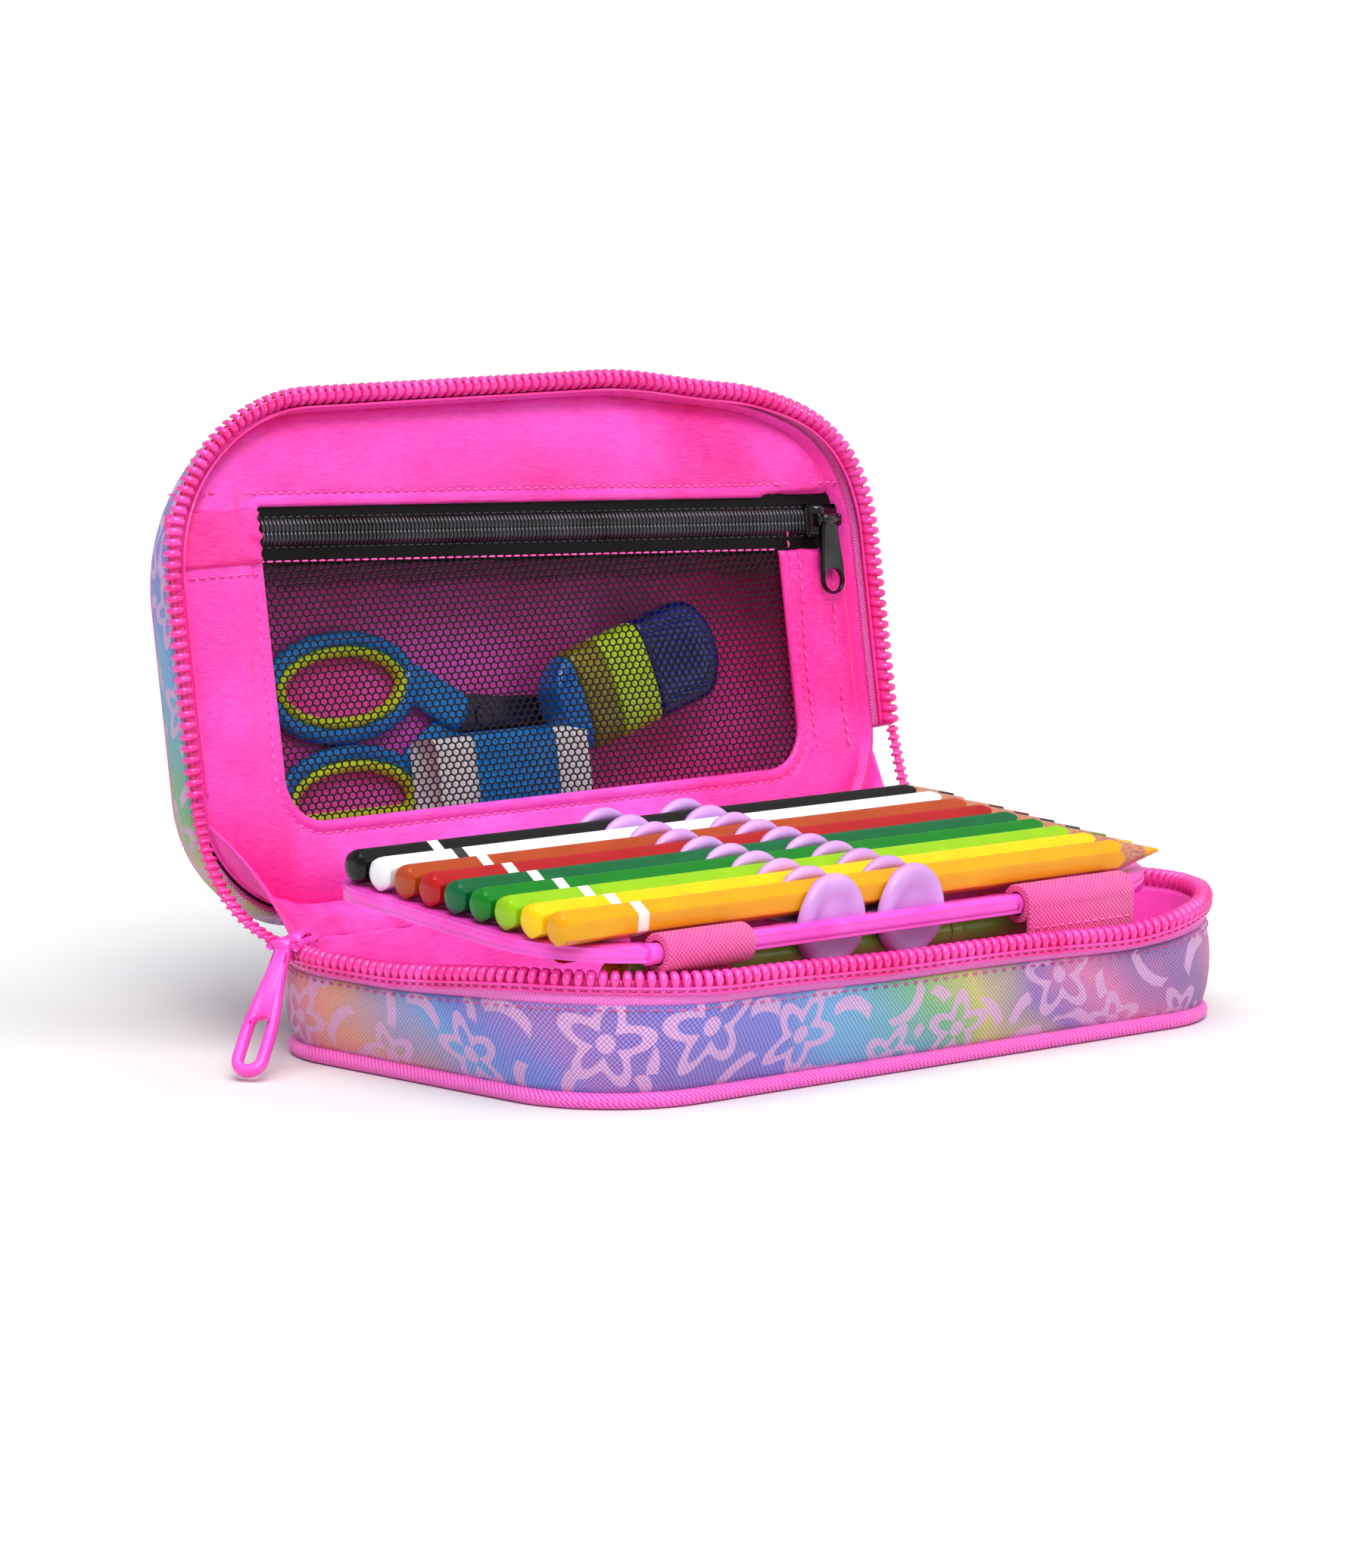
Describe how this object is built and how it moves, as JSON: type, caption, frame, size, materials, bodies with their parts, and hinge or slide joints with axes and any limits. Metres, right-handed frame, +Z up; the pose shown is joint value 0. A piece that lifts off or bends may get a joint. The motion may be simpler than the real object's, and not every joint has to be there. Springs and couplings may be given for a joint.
{
  "type": "filled pencil case",
  "caption": "Zip-round fabric pencil case, open, with a hinged page of pencils over pens and a net pocket with scissors, rubber and sharpener.",
  "frame": {"origin": "middle of the tray's underside, on the table", "axes": "+X along the case towards the pencil points, +Y from the front towards the lid hinge, +Z up"},
  "size_m": [0.2285, 0.1644, 0.1399],
  "materials": {
    "print_fabric": "coarse woven, soft tie-dye print",
    "board_fabric": "printed fabric over board",
    "trim_pink": "ribbed cord and herringbone tape",
    "lining_pink": "satin",
    "webbing_pink": "woven webbing",
    "zip_pink": "moulded zip coil",
    "pull_pink": "moulded slider and pull",
    "page_pink": "moulded flexible plastic",
    "lug_lavender": "soft moulded lobes",
    "net_black": "open net and tape",
    "zip_black": "nylon coil",
    "tab_pink": "sewn end tab",
    "metal_black": "painted slider and pull",
    "blade_grey": "dark brushed blades",
    "handle_blue": "moulded handle",
    "grip_lime": "soft inner rim",
    "eraser_white": "block rubber",
    "sleeve_blue": "card sleeve",
    "sharpener_navy": "moulded body",
    "sharpener_lime": "moulded band",
    "sharpener_olive": "smoky window",
    "sharpener_blue": "moulded end",
    "paint_black": "lacquered wood",
    "paint_white": "lacquered wood",
    "paint_brown": "lacquered wood",
    "paint_red": "lacquered wood",
    "paint_bottle": "lacquered wood",
    "paint_green": "lacquered wood",
    "paint_lime": "lacquered wood",
    "paint_yellow": "lacquered wood",
    "paint_amber": "lacquered wood",
    "pen_sage": "felt-tip pen",
    "pen_yellow": "felt-tip pen",
    "pen_orange": "felt-tip pen",
    "pen_maroon": "felt-tip pen",
    "pen_plum": "felt-tip pen"
  },
  "bodies": {
    "base": {"base_panel": "board_fabric", "base_gusset": "print_fabric", "base_piping": "trim_pink", "base_zip_tape": "trim_pink", "base_zip_coil": "zip_pink", "base_lining": "lining_pink", "hinge_strip": "lining_pink"},
    "lid": {"lid_panel": "board_fabric", "lid_gusset": "print_fabric", "lid_piping": "trim_pink", "lid_zip_tape": "trim_pink", "lid_zip_coil": "zip_pink", "lid_lining": "lining_pink", "pocket_panel": "lining_pink", "pocket_mesh": "net_black", "pocket_zip_tape": "net_black", "pocket_zip_coil": "zip_black", "pocket_end_tab": "tab_pink", "eraser_sleeve": "sleeve_blue", "sharpener_collar": "sharpener_lime", "sharpener_tank": "sharpener_olive", "sharpener_nose": "sharpener_blue", "scissors_back": "handle_blue", "scissors_grip_back": "grip_lime", "scissors_rivet": "blade_grey"},
    "page_carrier": {"webbing_loop_left": "webbing_pink", "webbing_loop_right": "webbing_pink"},
    "page": {"page_frame": "page_pink", "lug_column_left": "lug_lavender", "lug_column_right": "lug_lavender", "marker_sage": "pen_sage", "marker_yellow": "pen_yellow", "marker_orange": "pen_orange", "marker_maroon": "pen_maroon", "marker_plum": "pen_plum"},
    "main_slider": {"main_slider": "pull_pink"},
    "main_pull": {"main_pull": "pull_pink"},
    "pocket_slider": {"pocket_slider": "metal_black"},
    "pocket_pull": {"pocket_pull": "metal_black"},
    "scissors_half": {"scissors_front": "handle_blue", "scissors_grip_front": "grip_lime"},
    "eraser": {"eraser": "eraser_white"},
    "sharpener_cover": {"sharpener_body": "sharpener_navy"},
    "pencil_amber": {"pencil_amber": "paint_amber"},
    "pencil_yellow": {"pencil_yellow": "paint_yellow"},
    "pencil_lime": {"pencil_lime": "paint_lime"},
    "pencil_green": {"pencil_green": "paint_green"},
    "pencil_bottle": {"pencil_bottle": "paint_bottle"},
    "pencil_red": {"pencil_red": "paint_red"},
    "pencil_brown": {"pencil_brown": "paint_brown"},
    "pencil_white": {"pencil_white": "paint_white"},
    "pencil_black": {"pencil_black": "paint_black"},
    "cap_sage": {"cap_sage": "pen_sage"},
    "cap_yellow": {"cap_yellow": "pen_yellow"},
    "cap_orange": {"cap_orange": "pen_orange"},
    "cap_maroon": {"cap_maroon": "pen_maroon"},
    "cap_plum": {"cap_plum": "pen_plum"}
  },
  "joints": [
    {"name": "lid_hinge", "type": "hinge", "parent": "base", "child": "lid", "pos_m": [0, 0.06, 0.02435], "axis": [-1, 0, 0], "range_deg": [-99, 6]},
    {"name": "page_settle", "type": "slide", "parent": "base", "child": "page_carrier", "axis": [0.5404, 0.5404, -0.6449], "range_m": [-0.0018, 0.0279]},
    {"name": "page_hinge", "type": "hinge", "parent": "page_carrier", "child": "page", "pos_m": [0, -0.0542, 0.0315], "axis": [1, 0, 0], "range_deg": [0, 100]},
    {"name": "main_slider_run", "type": "hinge", "parent": "base", "child": "main_slider", "pos_m": [-0.061, 0.0225, 0.024], "axis": [0, 0, 1], "range_deg": [0, 24]},
    {"name": "main_pull_swing", "type": "hinge", "parent": "main_slider", "child": "main_pull", "pos_m": [-0.10121, 0.0362, 0.0251], "axis": [-0.5, 0.866, 0], "range_deg": [0, 60]},
    {"name": "pocket_slider_run", "type": "slide", "parent": "lid", "child": "pocket_slider", "axis": [-0.9991, 0.0068, 0.0429], "range_m": [0, 0.16]},
    {"name": "pocket_pull_swing", "type": "hinge", "parent": "pocket_slider", "child": "pocket_pull", "pos_m": [0.0928, 0.07494, 0.10107], "axis": [-0.9991, 0.0068, 0.0429], "range_deg": [0, 100]},
    {"name": "scissors_pivot", "type": "hinge", "parent": "lid", "child": "scissors_half", "pos_m": [-0.003, 0.0873, 0.06154], "axis": [0, 0.9877, -0.1564], "range_deg": [0, 18]},
    {"name": "eraser_slide", "type": "slide", "parent": "lid", "child": "eraser", "axis": [-1, 0, 0], "range_m": [0, 0.012]},
    {"name": "sharpener_pull_off", "type": "slide", "parent": "lid", "child": "sharpener_cover", "axis": [0.9659, 0.0405, 0.2556], "range_m": [0, 0.012]},
    {"name": "pencil_amber_slide", "type": "slide", "parent": "page", "child": "pencil_amber", "axis": [1, 0, 0], "range_m": [0, 0.06]},
    {"name": "pencil_yellow_slide", "type": "slide", "parent": "page", "child": "pencil_yellow", "axis": [1, 0, 0], "range_m": [0, 0.06]},
    {"name": "pencil_lime_slide", "type": "slide", "parent": "page", "child": "pencil_lime", "axis": [1, 0, 0], "range_m": [0, 0.06]},
    {"name": "pencil_green_slide", "type": "slide", "parent": "page", "child": "pencil_green", "axis": [1, 0, 0], "range_m": [0, 0.06]},
    {"name": "pencil_bottle_slide", "type": "slide", "parent": "page", "child": "pencil_bottle", "axis": [1, 0, 0], "range_m": [0, 0.06]},
    {"name": "pencil_red_slide", "type": "slide", "parent": "page", "child": "pencil_red", "axis": [1, 0, 0], "range_m": [0, 0.06]},
    {"name": "pencil_brown_slide", "type": "slide", "parent": "page", "child": "pencil_brown", "axis": [1, 0, 0], "range_m": [0, 0.06]},
    {"name": "pencil_white_slide", "type": "slide", "parent": "page", "child": "pencil_white", "axis": [1, 0, 0], "range_m": [0, 0.06]},
    {"name": "pencil_black_slide", "type": "slide", "parent": "page", "child": "pencil_black", "axis": [1, 0, 0], "range_m": [0, 0.06]},
    {"name": "cap_sage_pull_off", "type": "slide", "parent": "page", "child": "cap_sage", "axis": [1, 0, 0], "range_m": [0, 0.022]},
    {"name": "cap_yellow_pull_off", "type": "slide", "parent": "page", "child": "cap_yellow", "axis": [1, 0, 0], "range_m": [0, 0.022]},
    {"name": "cap_orange_pull_off", "type": "slide", "parent": "page", "child": "cap_orange", "axis": [1, 0, 0], "range_m": [0, 0.022]},
    {"name": "cap_maroon_pull_off", "type": "slide", "parent": "page", "child": "cap_maroon", "axis": [1, 0, 0], "range_m": [0, 0.022]},
    {"name": "cap_plum_pull_off", "type": "slide", "parent": "page", "child": "cap_plum", "axis": [1, 0, 0], "range_m": [0, 0.022]}
  ],
  "couplings": [
    {"joint": "page_settle", "follows": "lid_hinge", "m_per_rad": -0.016064}
  ]
}
